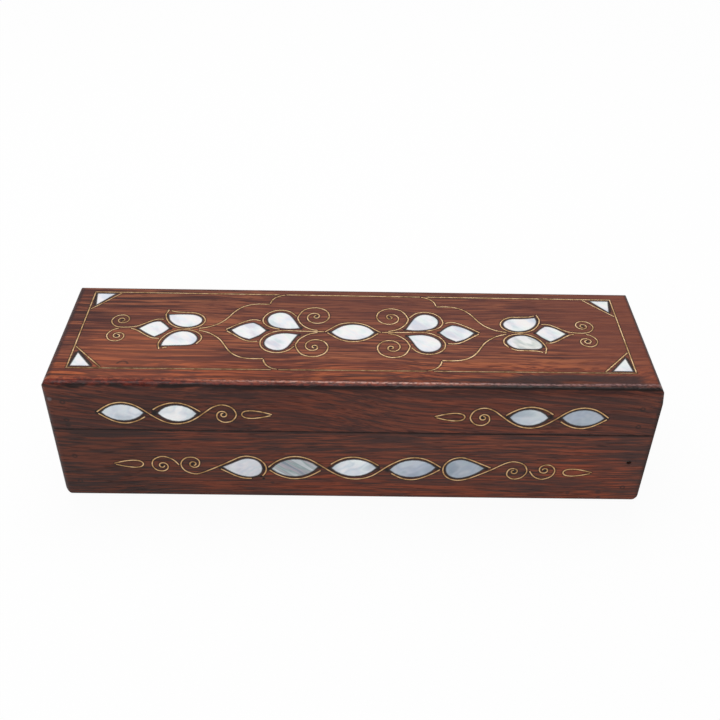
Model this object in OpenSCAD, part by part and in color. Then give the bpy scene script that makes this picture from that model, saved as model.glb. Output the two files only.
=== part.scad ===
// Long wooden box with a hinged lid, inlaid with mother-of-pearl and brass wire.
// X runs along the box, -Y is its front, +Z is up, and the origin lies under its middle.

/* [Box] */
// Overall length of the box
box_l = 250; // [220:1:300]
// Overall depth of the box, front to back
box_d = 71; // [64:0.5:90]
// Height of the base, from the table to the seam
base_h = 38.2; // [36:0.2:60]
// Height of the lid, from the seam to its top
lid_h = 23.8; // [22.4:0.2:40]
// Thickness of the front and back boards
wall_t = 8; // [7:0.5:12]
// Thickness of the two end boards
end_t = 10; // [9.5:0.5:14]
// Thickness of the bottom board
bottom_t = 5; // [3:0.5:8]
// Thickness of the top board
top_t = 4.5; // [3.6:0.1:6]

/* [Rounded edges] */
// Radius of the round-over along the top edges
top_round = 2.8; // [1:0.1:3.4]
// Radius of the upright corner at the front's left, which is worn the most
left_corner_round = 2.7; // [0.4:0.1:4]
// Radius of the upright corner at the front's right
right_corner_round = 0.5; // [0.4:0.1:4]
// Radius of the upright edge at the back left
back_left_round = 3; // [0.4:0.1:4]
// Radius of the upright edge at the back right
back_right_round = 2; // [0.4:0.1:4]
// Depth of the wear on the lid's front right corner, at the top
corner_wear = 1.1; // [0.5:0.1:1.5]
// Lean of that wear from upright, in degrees
corner_wear_lean = 8; // [6:1:12]
// Radius of the bottom edges at the front and the back
bottom_round = 1; // [0.4:0.1:2.5]
// Radius of the bottom edge at the left end
left_bottom_round = 5; // [0.4:0.1:6]
// Radius of the bottom edge at the right end
right_bottom_round = 4; // [0.4:0.1:6]
// Width of the eased edge along each side of the seam
seam_ease = 0.3; // [0.1:0.05:0.6]

/* [Hinges] */
// Distance of the hinge axis in front of the back face
hinge_set_in = 2; // [1.8:0.1:2.4]
// Angle through which the lid opens
open_angle = 100; // [90:1:110]
// Spare angle left at each of the two planed stops
stop_play = 0.5; // [0.2:0.1:1]
// Length of each hinge along the box
hinge_l = 22; // [18:1:30]
// Distance from each end of the box to its hinge
hinge_from_end = 42; // [25:1:60]
// Width of a hinge leaf, from the hinge axis to its free edge
leaf_w = 5.2; // [4.8:0.1:5.8]
// Thickness of a hinge leaf
leaf_t = 0.8; // [0.6:0.05:1]
// Gap between the two leaves of a closed hinge
leaf_gap = 0.1; // [0.05:0.05:0.2]
// Diameter of the hinge knuckles
knuckle_d = 3.2; // [3:0.1:3.5]
// Gap between a knuckle and what it turns next to
knuckle_gap = 0.15; // [0.1:0.05:0.2]
// Diameter of the hinge pins
hinge_pin_d = 1.6; // [1.2:0.1:1.8]
// Clearance around a hinge pin, on the radius
hinge_pin_clear = 0.03; // [0.02:0.01:0.08]
// Diameter of the peened heads on a hinge pin
hinge_pin_head_d = 2.3; // [2:0.1:2.6]
// Thickness of the peened heads on a hinge pin
hinge_pin_head_t = 0.35; // [0.2:0.05:0.5]
// Diameter of a hinge screw's shank
screw_d = 1.3; // [1:0.1:1.5]
// Diameter of a hinge screw's countersunk head
screw_head_d = 2.4; // [2:0.1:2.6]
// Length of a hinge screw
screw_l = 6; // [4:0.5:8]
// Width of the slot in a hinge screw's head
screw_slot_w = 0.3; // [0.2:0.05:0.4]
// Distance from each end of a hinge leaf to its screw
screw_from_end = 4.5; // [4:0.5:6]

/* [Corner pins] */
// Diameter of the pins that hold the corners
pin_d = 1.2; // [0.8:0.1:1.6]
// Length of a corner pin
pin_l = 18; // [14:0.5:22]
// Diameter of a corner pin's head
pin_head_d = 1.8; // [1.7:0.1:2.4]
// Thickness of a corner pin's head
pin_head_t = 0.6; // [0.4:0.1:1]
// Depth to which the heads are punched below the wood
pin_set = 1; // [0.6:0.1:1.5]
// Distance of the pins from the ends of the box
pin_from_end = 7.7; // [5.5:0.1:8]
// Height of the lower row of pins in the base
base_pin_low = 8; // [7:0.5:12]
// Height of the upper row of pins in the base
base_pin_high = 22.9; // [18:0.1:28]
// Height of the lower row of pins above the seam
lid_pin_low = 5; // [4:0.5:7]
// Height of the upper row of pins above the seam
lid_pin_high = 14.5; // [12:0.5:15]

/* [Lining] */
// Thickness of the velvet-covered card
lining_t = 1.2; // [0.8:0.1:2]
// Gap between the card and the wood, and between two cards
lining_gap = 0.1; // [0.05:0.05:0.3]
// Distance of the card's edges from the seam
lining_below_seam = 1.2; // [0.5:0.1:3]

/* [Pearl and mastic] */
// Thickness of the mother-of-pearl pieces
pearl_t = 1; // [0.6:0.1:1.5]
// Thickness of the mastic under a piece
mastic_bed = 0.3; // [0.1:0.05:0.6]
// Width of the mastic around a piece
mastic_margin = 0.47; // [0.3:0.01:0.48]

/* [Brass wire] */
// Width of the wire, seen from above
wire_w = 0.5; // [0.3:0.05:0.5]
// Height of the wire, which is let in on edge
wire_depth = 0.9; // [0.5:0.05:1.5]
// Gap on each side between the wire and its groove
groove_gap = 0.12; // [0.02:0.01:0.12]

/* [Inlay layout] */
// Distance of the wire border from the lid's left end
border_from_left = 8.2; // [8:0.1:14]
// Distance of the wire border from the lid's right end
border_from_right = 9.4; // [8:0.1:14]
// Distance of the wire border from the lid's front, halfway along
border_from_front = 11.3; // [8:0.1:14]
// Distance of the wire border from the lid's back, halfway along
border_from_back = 5.6; // [5.4:0.1:12]
// Share by which the border is narrower at its right end than halfway along
border_taper = 0.018; // [0:0.002:0.02]
// Height of the lid's front inlay above the seam
lid_motif_h = 9.4; // [8.8:0.1:12]
// Height of the base's front inlay above the table
base_motif_h = 17.9; // [15:0.1:24]

/* [Hidden] */
$fn = 48;

// ---- The box's own lines ----
box_h = base_h + lid_h;
half_l = box_l / 2;
half_d = box_d / 2;
inner_l = box_l - 2 * end_t;
inner_d = box_d - 2 * wall_t;
frame_top = box_h - top_t;
// How far a cutting shape reaches past the face that it cuts
over = 1;

// ---- Colours ----
WOOD_TOP = [0.50, 0.25, 0.17];
WOOD_SIDE = [0.36, 0.19, 0.14];
PEARL = [0.87, 0.88, 0.90];
MASTIC = [0.07, 0.06, 0.05];
BRASS = [0.80, 0.66, 0.42];
STEEL = [0.42, 0.41, 0.40];
VELVET = [0.42, 0.03, 0.07];

// ==== Curves in the plane of a face ====

// Smooth steps between two neighbouring points of a hand-drawn line
curve_steps = 3;

function unit(v) = v / norm(v);

// Point a share t of the way from b to c, on a smooth line that also passes a and d
function between(a, b, c, d, t) =
    0.5 * (2 * b + t * (c - a) + t * t * (2 * a - 5 * b + 4 * c - d)
        + t * t * t * (3 * b - a - 3 * c + d));

// Smooth open line through all the points
function curve(p) = let(last = len(p) - 1) last < 2 ? p : [
    for (i = [0:last - 1], k = [0:curve_steps - 1])
        between(
            i == 0 ? 2 * p[0] - p[1] : p[i - 1], p[i],
            p[i + 1], i == last - 1 ? 2 * p[last] - p[last - 1] : p[i + 2],
            k / curve_steps),
    p[last]
];

// Smooth closed line through all the points
function ring(p) = let(n = len(p)) [
    for (i = [0:n - 1], k = [0:curve_steps - 1])
        between(p[(i + n - 1) % n], p[i], p[(i + 1) % n], p[(i + 2) % n], k / curve_steps)
];

// Closed outline of smooth sides; each side starts at a corner and runs to the next one
function outline(sides) = let(n = len(sides)) [
    for (s = [0:n - 1])
        let(line = curve(concat(sides[s], [sides[(s + 1) % n][0]])))
            for (k = [0:len(line) - 2]) line[k]
];

// Spiral about a centre: its radius at each quarter turn, the angle where it starts
// and the way it winds, 1 or -1
function volute(centre, radii, start, way) = [
    for (q = [0:0.5:len(radii) - 1])
        let(i = floor(q), j = ceil(q), r = radii[i] + (q - i) * (radii[j] - radii[i]))
            centre + r * [cos(start + way * 90 * q), sin(start + way * 90 * q)]
];

// Pointed oval of two arcs, about a centre and tilted by an angle
function lens(centre, half_len, half_wid, tilt = 0) =
    let(r = (half_len * half_len + half_wid * half_wid) / (2 * half_wid),
        reach = asin(half_len / r), steps = 8,
        arc = [for (k = [0:steps - 1]) let(a = reach * (2 * k / steps - 1))
            [r * sin(a), r * cos(a) - r + half_wid]])
    [for (side = [1, -1], p = arc)
        centre + side * [p.x * cos(tilt) - p.y * sin(tilt), p.x * sin(tilt) + p.y * cos(tilt)]];

// Twice the area inside a closed outline, with its sign
function winding(p) = let(n = len(p)) [
    for (i = [0:n - 1]) cross(p[i], p[(i + 1) % n])
] * [for (i = [0:n - 1]) 1];

// Closed outline moved outwards by a distance
function grown(p, by) = let(n = len(p), way = sign(winding(p))) [
    for (i = [0:n - 1])
        let(e = unit(p[i] - p[(i + n - 1) % n]), f = unit(p[(i + 1) % n] - p[i]),
            m = [e.y, -e.x], k = [f.y, -f.x])
            p[i] + way * by * (m + k) / (1 + m * k)
];

// Direction of an open line at its point i
function heading(p, i) = unit(p[min(i + 1, len(p) - 1)] - p[max(i - 1, 0)]);

// Open line made longer at both ends
function lengthened(p, by) = let(last = len(p) - 1) [
    for (i = [0:last]) p[i] + (i == 0 ? -by : i == last ? by : 0) * heading(p, i)
];

// Outline of a strip of a width that follows an open line
function strip(p, width) = let(last = len(p) - 1, half = width / 2) concat(
    [for (i = [0:last]) let(t = heading(p, i)) p[i] + half * [-t.y, t.x]],
    [for (i = [last:-1:0]) let(t = heading(p, i)) p[i] - half * [-t.y, t.x]]
);

function mirrored(lines) = [for (line = lines) [for (p = line) [-p.x, p.y]]];
function both_sides(lines) = concat(lines, mirrored(lines));
function placed(lines, stretch, offset) = [
    for (line = lines) [for (p = line) [p.x * stretch.x, p.y * stretch.y] + offset]
];
// Lines made narrower towards +x, by a share of their width at a distance of reach
function tapered(lines, share, reach) = [
    for (line = lines) [for (p = line) [p.x, p.y * (1 - share * p.x / reach)]]
];
function curves(lines) = [for (line = lines) curve(line)];

// ==== Inlay of the lid's top, drawn about the middle of its border ====
// Half the length and width of the border as drawn; all else is drawn to match
top_drawn = [116.2, 26.75];
top_stretch = [
    (box_l - border_from_left - border_from_right) / 2 / top_drawn.x,
    (box_d - border_from_front - border_from_back) / 2 / top_drawn.y
];
top_middle = [border_from_left - border_from_right, border_from_front - border_from_back] / 2;

// Where the border is broken for the feet of the arches
border_break = [30.2, 33.3];
// Straight wires across the corners: reach along the side and along the end, then the corner,
// as 1 or -1 for right or left and 1 or -1 for back or front
corner_cuts = [[12.6, 13.2, 1, 1], [11.9, 13.2, -1, 1], [12.5, 13.9, 1, -1], [13.4, 13.9, -1, -1]];
// How far a wire's end stays away from the middle of the wire that it runs up to
butt = wire_w / 2 + groove_gap;

border_lines = concat(
    both_sides([[for (v = [-1, 1]) [top_drawn.x, v * (top_drawn.y + wire_w / 2)]]]),
    both_sides([for (v = [-1, 1]) [
        [border_break[1], v * top_drawn.y], [top_drawn.x - butt, v * top_drawn.y]]]),
    [for (v = [-1, 1]) [
        [-border_break[0], v * top_drawn.y], [border_break[0], v * top_drawn.y]]],
    [for (cut = corner_cuts) [
        [cut[2] * (top_drawn.x - cut[0]), cut[3] * (top_drawn.y - 0.65)],
        [cut[2] * (top_drawn.x - 0.65), cut[3] * (top_drawn.y - cut[1])]]]
);

// Four cusped arches: a foot on the border, then a long shoulder down to the end flower
arch_lines = both_sides([
    [[30.7, 26.55], [33, 25.75], [35, 24.3], [36.3, 22.3], [37, 19.75]],
    [[37.2, 19.1], [41.4, 19.3], [44.8, 18.8], [47.7, 17.6], [50.2, 15.6], [52.4, 12.6],
        [54.1, 9.4], [56, 6.4], [58.6, 3.8], [62.2, 1.7], [66.3, 0.55]],
    [[30.8, -26.55], [33.1, -25.75], [35.2, -24.1], [36.4, -22], [36.9, -20.2]],
    [[37.1, -19.6], [41.2, -19.7], [44.6, -19.4], [47.6, -18.3], [50.2, -16.4], [52.4, -13.6],
        [54.2, -10.4], [56, -7.4], [58.4, -4.8], [61.8, -2.3], [66, -0.6]]
]);

// The middle lens, and on each side two drops, a leaf and the two petals of the end flower
flower_lines = concat(
    [
        [[-12, -0.7], [-9.3, 1.9], [-6.2, 4.7], [-3, 5.9], [0, 6.2], [3.4, 5.6], [6.8, 3.8],
            [9.4, 1.4], [12, -0.7]],
        [[-10.9, -1.3], [-9, -3.1], [-6, -5.6], [-2.6, -7.1], [0.4, -7.4], [3.8, -6.7],
            [7.2, -4.8], [9.4, -2.8], [10.9, -1.3]],
        [[79.9, -13.2], [77.4, -12.4], [73.4, -12.2], [69.3, -12], [66.9, -10.9]],
        [[-79.7, -13.2], [-77.9, -12.6]]
    ],
    both_sides([
        [[12.5, -0.6], [18, -0.5], [24, -0.35], [28.5, -0.1], [32, -0.5], [35.1, -1.9],
            [37.8, -4.5], [39.2, -8], [38.6, -11.4], [36.4, -14.1], [33, -15.5], [29.6, -15.2],
            [26.9, -13.7], [24.75, -11.1]],
        [[24.8, 10.4], [27.5, 13.5], [31.1, 14.8], [34.6, 14.2], [37.3, 12.2], [38.9, 9.2],
            [39.1, 6.4], [37.8, 3.9], [35.3, 2], [31.6, 0.75]],
        [[40.2, 6.7], [42.4, 7.4], [44.9, 7], [47.9, 5.3], [51.3, 2.8], [54.5, 0.1]],
        [[54.1, -0.9], [50.6, -3.7], [47.3, -6.3], [44.8, -7.7], [42.4, -8.1], [40.4, -7.9]],
        [[79.9, 13.2], [77.4, 12.4], [73.4, 12.1], [69.2, 11.8], [66, 10], [64.3, 7],
            [64.6, 4.2], [66.5, 2], [69.3, 0.75], [72.3, 0.5], [75.4, 1.2], [78.6, 3.3],
            [80.8, 6.6], [81.8, 10.2], [81, 14]],
        [[65.9, -10.1], [64.3, -7.2], [64.6, -4.6], [66.6, -2.1], [69.3, -0.75], [72.3, -0.35],
            [75.5, -0.9], [78.6, -3.1], [80.8, -6.4], [81.8, -10.2], [80.9, -14]],
        [[82.1, -6.7], [84.9, -6.5], [87.8, -4.8], [90.8, -2.4], [93, -0.9], [95.2, 0]]
    ])
);

// Radii of the large and of the small scrolls, at each quarter turn inwards
large_scroll = [7.8, 6.8, 5.8, 4.9, 3.7, 2.4, 1.3, 1, 0.9, 0.8];
small_scroll = [4.4, 3.7, 2.9, 2, 1.6, 1.3, 1.05, 0.9];

scroll_lines = both_sides([
    concat([[15.2, 0.25], [17.7, 0.9], [20.2, 2.3], [22.5, 4.8], [23.75, 7.5]],
        volute([16.2, 10.3], large_scroll, 0, 1)),
    concat([[15.2, -1.25], [17.7, -1.95], [20.2, -3.5], [22.5, -5.9], [23.7, -8.5]],
        volute([16.2, -11.2], large_scroll, 0, -1)),
    concat([[82.1, 6.8], [85, 6.8], [87.6, 5.4], [90.4, 3.3], [93, 1.6], [96.2, 0.9], [99.4, 0.8],
        [102, 1.5], [103.8, 3.3]], volute([100.1, 5.9], small_scroll, 0, 1)),
    concat([[100.4, 0], [102.4, -1], [103.9, -2.8]],
        volute([100.1, -5.2], small_scroll, 0, -1))
]);

// Outlines of the pearl pieces, as sides between corners
top_lens = [[[-9.2, -0.8], [-7, 1.6], [-4, 3.8], [0, 4.8], [4, 4.1], [7, 2.2]],
    [[9.2, -0.7], [7, -3.4], [3.6, -5.5], [0.2, -6.1], [-4, -5.3], [-7, -3.3]]];
back_drop = [[[22.9, 1.7], [26, 1.2], [29.6, 1.3], [33.8, 2.5], [36.4, 5], [37.1, 8.4],
    [35.6, 11.3], [32.5, 12.9], [29.5, 12.4], [27.3, 10.4], [25.5, 7.2]]];
front_drop = [[[23.6, -3], [26.4, -2.4], [30, -2.2], [33.8, -3.4], [36.7, -6.2], [37.3, -9.7],
    [35.5, -12.5], [32.2, -13.9], [29, -13.2], [27, -10.6], [25.4, -6.8]]];
drop_leaf = [[[37.3, -0.3], [40.1, 3]], [[43, 5.1], [45.6, 4.5], [48.8, 2.7]],
    [[52.1, -0.2], [49.9, -2.9], [47, -5.2]], [[43.9, -6.5], [40.1, -3.8]]];
end_leaf = [[[78.9, 0.3], [81.1, 3]], [[83.4, 5.2], [85.5, 5], [88.2, 3.4]],
    [[91.7, 0], [88.2, -3]], [[84.3, -5.6], [81.3, -3]]];
left_back_petal = [[[80.5, 10.2], [76.8, 10.5], [73, 10.6], [69.4, 10.3], [66.5, 8.6],
    [65.5, 6.2], [66.6, 3.6], [69.4, 1.85], [73, 1.6], [76.6, 3.1], [79.4, 6.2]]];
right_back_petal = [[[80, 11.7], [77, 11.05], [73.4, 10.7], [69.6, 10.6], [66.8, 9],
    [65.5, 6.4], [66.5, 3.7], [69.2, 1.9], [72.4, 1.6], [76, 2.8], [79, 5.6], [80.3, 8.8]]];
left_front_petal = [[[80.4, -11.7], [79.8, -8.2], [77.6, -4.2], [74.2, -1.9], [70.4, -1.9],
    [67.3, -3.9], [65.9, -6.9], [66.9, -9.6], [69, -11], [74.6, -11.4]]];
right_front_petal = [[65.6, -6], [67.6, -3.4], [70.8, -1.8], [74.6, -1.9], [78, -4.2],
    [80.1, -7.4], [79.9, -10], [77.6, -11.1], [73.6, -11.1], [69.6, -10.9], [66.8, -9]];
corner_triangle = [[[115.1, 25.5]], [[107, 25.5]], [[113.8, 16.8]]];

flower_pearl_lines = concat(
    [outline(top_lens), outline(right_back_petal), ring(right_front_petal)],
    mirrored([outline(left_back_petal), outline(left_front_petal)]),
    both_sides([for (sides = [back_drop, front_drop, drop_leaf, end_leaf]) outline(sides)])
);
corner_pearl_lines = both_sides([
    for (v = [-1, 1]) [for (p = outline(corner_triangle)) [p.x, v * p.y]]
]);

// ==== Inlay of the lid's front, drawn about the line through its lenses ====
lid_front_drawn = [125, 24.2];
lid_front_stretch = [half_l / lid_front_drawn.x, lid_h / lid_front_drawn.y];
lid_front_middle = [0, base_h + lid_motif_h];

// Small closed drop: half its length of wire on each side of a pointed end
drop_line = [[0, 0.15], [4.3, 1.5], [8.3, 2.1], [11.2, 1.6], [12.3, 0],
    [11.2, -1.6], [8.3, -2.1], [4.3, -1.5], [0.6, -0.45]];
function drop(tip, way) = [for (p = drop_line) tip + [way * p.x, p.y]];

lid_front_lines = both_sides([
    concat([[104.2, 0.2], [101.2, 2.7], [97.8, 4.7], [93.8, 5.5], [89.6, 4.6], [86, 2.2],
        [82.8, -0.8], [78.6, -4.1], [74.8, -5.7], [71, -5.8], [67.2, -4.6], [63.6, -2.2],
        [60.2, 0.8], [56.8, 3.6]],
        volute([53, -0.6], [5.4, 5.3, 4.1, 2.6, 1.8, 1.35, 1.1, 0.95, 0.85], 90, 1)),
    [[103.7, -0.7], [100.2, -3.4], [96.8, -5.2], [93.4, -5.8], [90.2, -5.2], [87.4, -3.9],
        [85, -2.2]],
    [[81.4, 1.7], [78.8, 3.6], [75.4, 5.1], [71.8, 5.6], [68.4, 4.9], [65.2, 3.2], [62.2, 0.9]],
    drop([33.2, -0.3], 1)
]);
lid_front_pearl_lines = both_sides([lens([93.9, 0], 8.6, 4.4), lens([71.7, -0.1], 7.9, 4.4)]);

// ==== Inlay of the base's front, drawn about the line through its lenses ====
base_front_drawn = [125, 38.8];
base_front_stretch = [half_l / base_front_drawn.x, base_h / base_front_drawn.y];
base_front_middle = [0, base_motif_h];

base_lens_lines = [
    [[-35.9, -0.3], [-33, 2.7], [-29.6, 4.9], [-26.2, 6.1], [-22.8, 6.2], [-19.4, 5.2],
        [-16.4, 3.4], [-13.6, 1.1], [-10.4, -1.6], [-7, -4.1], [-3.4, -6], [0.5, -6.8],
        [4.4, -6.4], [8.2, -4.8], [11.6, -2], [14.6, 0.8], [18, 3.4], [21.8, 5.5], [26, 6.4],
        [30, 5.8], [33.4, 4], [36, 2.1], [37.6, 0.8]],
    [[-35.4, -2], [-33, -4.1], [-30, -5.8], [-26.8, -6.9], [-23.6, -7], [-20.2, -6.2],
        [-16.8, -4.3], [-13.6, -1.9]],
    [[-9.3, 1.9], [-6.6, 4], [-3.2, 5.8], [0.6, 6.3], [4.2, 5.6], [7.8, 3.8], [11, 1.5]],
    [[37.3, -0.6], [34.4, -2.9], [31, -5], [27.6, -6.5], [24, -6.8], [20.4, -5.7], [16.6, -3.2]],
    [[-56.2, -1.6], [-53.4, -3.5], [-50, -5.7], [-46.6, -7], [-43.4, -7.2]]
];
base_scroll_lines = [
    concat([[-38.6, -5.6], [-37.2, -3.2], [-36.9, -0.4], [-37.9, 2.4], [-40.4, 4.9],
        [-44.2, 6.15], [-47.6, 5.6], [-51.2, 3.5], [-55, 1.2], [-58.2, -0.7], [-61.4, -2.5],
        [-64.6, -4.1]], volute([-67.6, 1.2], [6, 5.4, 4, 2.5, 2, 1.6, 1.25, 1, 0.85], 270, -1)),
    concat([[-73.9, 0.5], [-75.4, 2.9], [-77.9, 4.8]],
        volute([-80.9, 0], [5.4, 4.3, 3.2, 2.3, 1.65, 1.25, 1, 0.85], 90, 1)),
    concat([[58.9, 0.9], [55, 2.9], [50.4, 5.3], [46.4, 6.75], [42.6, 6], [39.9, 3.6],
        [38.6, 0.3], [39.3, -3.4], [41.8, -6], [45.4, -6.9], [49.6, -5.9], [54.4, -3.3],
        [59.4, -0.2], [62.4, 1.95], [65.6, 4]],
        volute([69, -1.2], [5.9, 5.6, 4.5, 2.7, 1.8, 1.5, 1.2, 1, 0.85], 90, -1)),
    concat([[75.8, -0.9], [77.3, -3.3], [79.3, -5]],
        volute([82.1, -0.2], [5.4, 4.4, 3.2, 2.2, 1.65, 1.3, 1.05, 0.9], 270, 1)),
    drop([-101.2, 0.9], 1),
    drop([102.5, -1.4], -1)
];
left_teardrop = [[[-55.3, -0.3], [-52.6, 1.1], [-49.6, 2.8], [-46.4, 4.4], [-43.4, 4.7],
    [-40.6, 3.6], [-38.8, 1], [-38.7, -2.4], [-40.4, -5], [-43.6, -6.1], [-47, -5.7],
    [-50.4, -4.2], [-53.2, -2.2]]];
right_teardrop = [[[56.2, 0.6], [53.6, 2.4], [50, 4.3], [46.2, 5.5], [42.6, 4.7], [40.2, 2.2],
    [39.9, -1], [41.3, -3.9], [44.2, -5.4], [47.4, -5.2], [51, -3.7], [54, -1.6]]];
base_pearl_lines = [
    outline(left_teardrop), outline(right_teardrop),
    lens([-24.7, -0.45], 9.9, 5.15, 4.6), lens([0.6, -0.05], 9.6, 5, 1.5),
    lens([25.6, -0.15], 9.8, 5.1, 4.9)
];

// Each face's lines and outlines, stretched to the size of the box
function on_lid(lines) =
    placed(tapered(lines, border_taper, top_drawn.x), top_stretch, top_middle);
top_curves = [for (lines = [border_lines, arch_lines, flower_lines, scroll_lines])
    curves(on_lid(lines))];
top_flower_pearls_at = on_lid(flower_pearl_lines);
top_corner_pearls_at = on_lid(corner_pearl_lines);
lid_front_curves = curves(placed(lid_front_lines, lid_front_stretch, lid_front_middle));
lid_front_pearls_at = placed(lid_front_pearl_lines, lid_front_stretch, lid_front_middle);
base_lens_curves = curves(placed(base_lens_lines, base_front_stretch, base_front_middle));
base_scroll_curves = curves(placed(base_scroll_lines, base_front_stretch, base_front_middle));
base_pearls_at = placed(base_pearl_lines, base_front_stretch, base_front_middle);

// ==== Inlay as solids, with the face at z = 0 and the wood below it ====
module slab(line, depth) {
    translate([0, 0, -depth]) linear_extrude(depth) polygon(line);
}
module cutter(line, depth) {
    translate([0, 0, -depth]) linear_extrude(depth + over) polygon(line);
}
module wires(lines) {
    color(BRASS) for (line = lines) slab(strip(line, wire_w), wire_depth);
}
module wire_grooves(lines) {
    for (line = lines)
        cutter(strip(lengthened(line, groove_gap), wire_w + 2 * groove_gap), wire_depth);
}
module pearls(lines) {
    color(PEARL) for (line = lines) slab(line, pearl_t);
}
module pearl_pockets(lines) {
    for (line = lines) cutter(grown(line, mastic_margin), pearl_t + mastic_bed);
}
module mastic(lines) {
    color(MASTIC) for (line = lines) difference() {
        slab(grown(line, mastic_margin), pearl_t + mastic_bed);
        cutter(line, pearl_t);
    }
}
module on_top() { translate([0, 0, box_h]) children(); }
module on_front() { translate([0, -half_d, 0]) rotate([90, 0, 0]) children(); }

// ==== Outer form that all the boards share ====
// Rectangle with a radius of its own at each corner: bottom left and right, top left and right
module eased_rect(x0, x1, y0, y1, radii) {
    corners = [[x0, y0, 1, 1], [x1, y0, -1, 1], [x0, y1, 1, -1], [x1, y1, -1, -1]];
    difference() {
        translate([x0, y0]) square([x1 - x0, y1 - y0]);
        for (i = [0:3]) let(c = corners[i], r = radii[i])
            difference() {
                translate([c[2] < 0 ? c.x - r : c.x - over, c[3] < 0 ? c.y - r : c.y - over])
                    square(r + over);
                translate([c.x + c[2] * r, c.y + c[3] * r]) circle(r);
            }
    }
}
module outer_form() {
    difference() {
        eased_block();
        worn_corner();
    }
}
module eased_block() {
    intersection() {
        translate([half_l + over, 0, 0]) rotate([90, 0, -90])
            linear_extrude(box_l + 2 * over)
                eased_rect(-half_d, half_d, 0, box_h,
                    [bottom_round, bottom_round, top_round, top_round]);
        translate([0, half_d + over, 0]) rotate([90, 0, 0])
            linear_extrude(box_d + 2 * over)
                eased_rect(-half_l, half_l, 0, box_h,
                    [left_bottom_round, right_bottom_round, top_round, top_round]);
        linear_extrude(box_h)
            eased_rect(-half_l, half_l, -half_d, half_d,
                [left_corner_round, right_corner_round, back_left_round, back_right_round]);
    }
}
// Two leaning facets take the lid's front right corner off; lower down they miss the boards
module worn_corner() {
    for (turn = [-22.5, -67.5]) translate([half_l, -half_d, box_h]) rotate([0, 0, turn])
        translate([-corner_wear, 0, 0]) rotate([0, -corner_wear_lean, 0])
            translate([0, -box_h / 2, -box_h / 2]) cube(box_h);
}
// Block between two corners
module block(low, high) { translate(low) cube(high - low); }

// Small bevels along both edges of the seam, at the front and at the ends
module seam_bevels() {
    side = seam_ease * sqrt(2);
    translate([0, -half_d, base_h]) rotate([45, 0, 0])
        cube([box_l + 2 * over, side, side], center = true);
    for (end = [-1, 1]) translate([end * half_l, 0, base_h]) rotate([0, 45, 0])
        cube([side, box_d + 2 * over, side], center = true);
}

// ==== Hinge line ====
hinge_y = half_d - hinge_set_in;
hinge_x = half_l - hinge_from_end - hinge_l / 2;
stop_angle = open_angle / 2 + stop_play;
knuckle_l = (hinge_l - 2 * knuckle_gap) / 3;
bore_d = hinge_pin_d + 2 * hinge_pin_clear;
screw_head_h = (screw_head_d - screw_d) / 2;
screw_x = hinge_l / 2 - screw_from_end;
// Screws stand in the middle of the leaf's flat part
screw_y = -(leaf_w + knuckle_d / 2) / 2;

module at_hinge(side) { translate([side * hinge_x, hinge_y, base_h]) children(); }
module along_x(length, d) { rotate([0, 90, 0]) cylinder(h = length, d = d, center = true); }
// The lid's half of a hinge is the base's half turned over at the seam
module lid_side() { mirror([0, 0, 1]) children(); }

// Planed stop on the base's back board; the lid's is its mirror image at the seam
module stop_wedge() {
    reach = hinge_set_in + over;
    translate([half_l + over, hinge_y, base_h]) rotate([90, 0, -90])
        linear_extrude(box_l + 2 * over)
            polygon([[0, 0], [-reach, -reach * tan(stop_angle)], [-reach, over], [0, over]]);
}
// Room for a hinge leaf, its knuckles and its screws, cut from the board's edge
module hinge_mortise() {
    block([-hinge_l / 2 - knuckle_gap, -leaf_w - knuckle_gap, -leaf_t - leaf_gap / 2],
        [hinge_l / 2 + knuckle_gap, 0, over]);
    along_x(hinge_l + 2 * (hinge_pin_head_t + knuckle_gap), knuckle_d + 2 * knuckle_gap);
    for (x = [-screw_x, screw_x]) translate([x, screw_y, -screw_l - leaf_gap / 2])
        cylinder(h = screw_l, d = screw_d + 2 * hinge_pin_clear);
}
// Leaf with its knuckles at the given places: -1 left, 0 middle, 1 right
module leaf(places) {
    plate_w = leaf_w - knuckle_d / 2 - knuckle_gap;
    // The leaf runs on into the middle of its own knuckles' walls
    root_w = leaf_w - (knuckle_d + bore_d) / 4;
    pitch = knuckle_l + knuckle_gap;
    difference() {
        union() {
            translate([0, 0, -leaf_t - leaf_gap / 2]) linear_extrude(leaf_t) union() {
                translate([-hinge_l / 2, -leaf_w]) square([hinge_l, plate_w]);
                for (p = places) translate([p * pitch - knuckle_l / 2, -leaf_w])
                    square([knuckle_l, root_w]);
            }
            for (p = places) translate([p * pitch, 0, 0]) along_x(knuckle_l, knuckle_d);
        }
        along_x(hinge_l + over, bore_d);
        for (x = [-screw_x, screw_x]) translate([x, screw_y, -leaf_gap / 2]) {
            translate([0, 0, -leaf_t - over])
                cylinder(h = leaf_t + 2 * over, d = screw_d + 2 * hinge_pin_clear);
            translate([0, 0, -screw_head_h])
                cylinder(h = screw_head_h, d1 = screw_d + 2 * hinge_pin_clear,
                    d2 = screw_head_d + 2 * hinge_pin_clear);
        }
    }
}
module hinge_pin() {
    along_x(hinge_l, hinge_pin_d);
    for (end = [-1, 1]) translate([end * (hinge_l + hinge_pin_head_t) / 2, 0, 0])
        along_x(hinge_pin_head_t, hinge_pin_head_d);
}
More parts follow.
